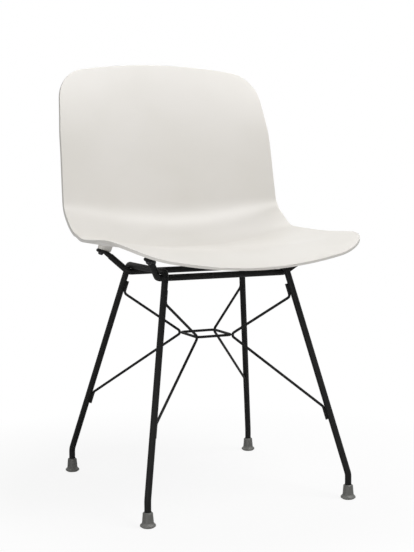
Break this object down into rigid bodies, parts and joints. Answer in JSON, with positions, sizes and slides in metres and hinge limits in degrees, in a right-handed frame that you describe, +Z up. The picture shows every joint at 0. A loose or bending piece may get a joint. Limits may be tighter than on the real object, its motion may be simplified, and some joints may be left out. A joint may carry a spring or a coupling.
{
  "type": "plastic shell chair",
  "caption": "Side chair with a one-piece moulded plastic seat and back on a bent steel rod frame with wire braces and push-on feet.",
  "frame": {"origin": "middle of the chair's footprint box, on the floor", "axes": "+Z up, -Y the way the sitter faces, +X the sitter's left"},
  "size_m": [0.5094, 0.469, 0.82],
  "materials": {
    "shell_plastic": "off-white moulded polypropylene, fine matt",
    "black_powder_coat": "black satin powder coat on steel rod",
    "glide_plastic": "mid grey moulded plastic, matt",
    "screw_steel": "blackened steel screw",
    "insert_brass": "plain brass, hidden in the bosses"
  },
  "bodies": {
    "root": {"seat_shell": "shell_plastic", "boss_inserts": "insert_brass", "seat_screws": "screw_steel", "right_leg_frame": "black_powder_coat", "left_leg_frame": "black_powder_coat", "front_crossbar": "black_powder_coat", "rear_crossbar": "black_powder_coat", "brace_front_right": "black_powder_coat", "brace_front_left": "black_powder_coat", "brace_rear_right": "black_powder_coat", "brace_rear_left": "black_powder_coat", "centre_ring": "black_powder_coat", "glide_front_right": "glide_plastic", "glide_front_left": "glide_plastic", "glide_rear_right": "glide_plastic", "glide_rear_left": "glide_plastic"}
  },
  "joints": []
}
